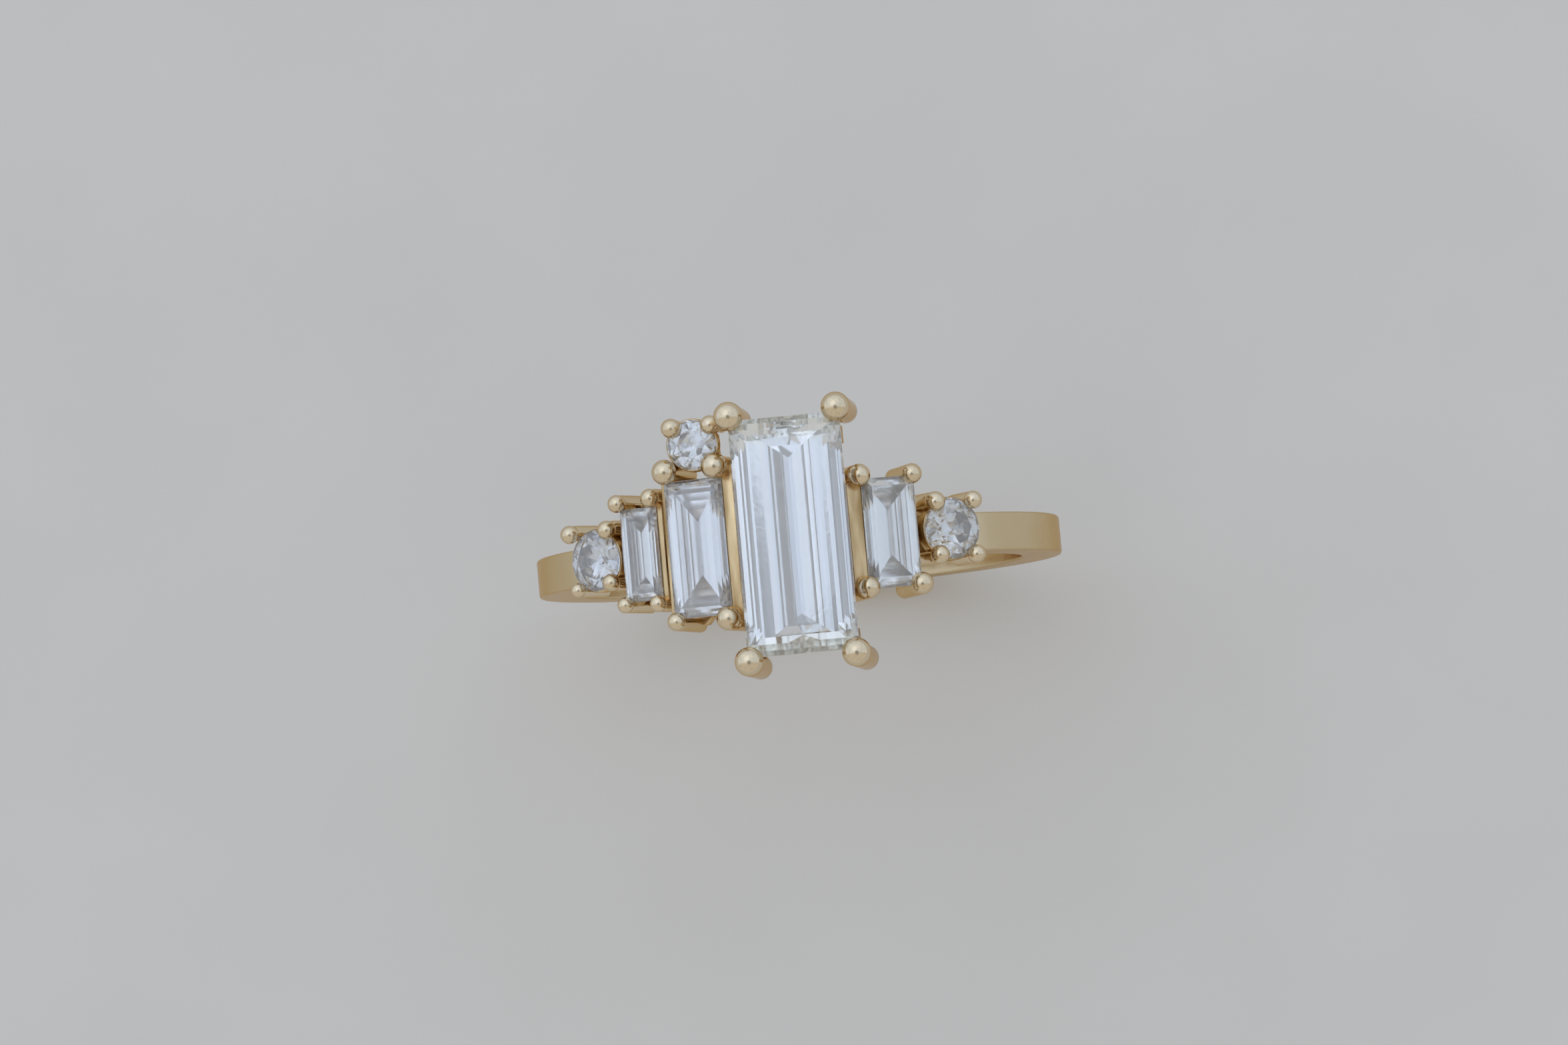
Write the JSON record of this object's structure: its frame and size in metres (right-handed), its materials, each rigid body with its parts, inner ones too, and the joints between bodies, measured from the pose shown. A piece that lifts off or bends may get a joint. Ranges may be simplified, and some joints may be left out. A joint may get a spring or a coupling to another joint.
{
  "type": "engagement ring",
  "caption": "Flat polished gold band carrying an uneven row of step-cut and round diamonds, each held in its own ball-pronged head.",
  "frame": {"origin": "middle of the finger hole, on its axis and halfway across the band's width", "axes": "+Z out of the finger through the centre stone's side of the ring, +Y along the finger, +X along the row of stones towards the shorter side of the row"},
  "size_m": [0.0196, 0.0098, 0.024],
  "materials": {
    "gold": "polished 18 ct yellow gold",
    "diamond": "polished colourless diamond, faceted"
  },
  "bodies": {
    "root": {"band": "gold", "centre_base": "gold", "centre_prong_ne": "gold", "centre_prong_nw": "gold", "centre_prong_se": "gold", "centre_prong_sw": "gold", "centre_seat": "gold", "centre_stone": "diamond", "east_baguette_base": "gold", "east_baguette_prong_ne": "gold", "east_baguette_prong_nw": "gold", "east_baguette_prong_se": "gold", "east_baguette_prong_sw": "gold", "east_baguette_seat": "gold", "east_baguette_stone": "diamond", "east_round_base": "gold", "east_round_prong_ne": "gold", "east_round_prong_nw": "gold", "east_round_prong_se": "gold", "east_round_prong_sw": "gold", "east_round_seat": "gold", "east_round_stone": "diamond", "north_round_base": "gold", "north_round_prong_ne": "gold", "north_round_prong_nw": "gold", "north_round_seat": "gold", "north_round_stone": "diamond", "west_baguette_base": "gold", "west_baguette_prong_ne": "gold", "west_baguette_prong_nw": "gold", "west_baguette_prong_se": "gold", "west_baguette_prong_sw": "gold", "west_baguette_seat": "gold", "west_baguette_stone": "diamond", "west_round_base": "gold", "west_round_prong_ne": "gold", "west_round_prong_nw": "gold", "west_round_prong_se": "gold", "west_round_prong_sw": "gold", "west_round_seat": "gold", "west_round_stone": "diamond", "west_slim_baguette_base": "gold", "west_slim_baguette_prong_ne": "gold", "west_slim_baguette_prong_nw": "gold", "west_slim_baguette_prong_se": "gold", "west_slim_baguette_prong_sw": "gold", "west_slim_baguette_seat": "gold", "west_slim_baguette_stone": "diamond"}
  },
  "joints": []
}
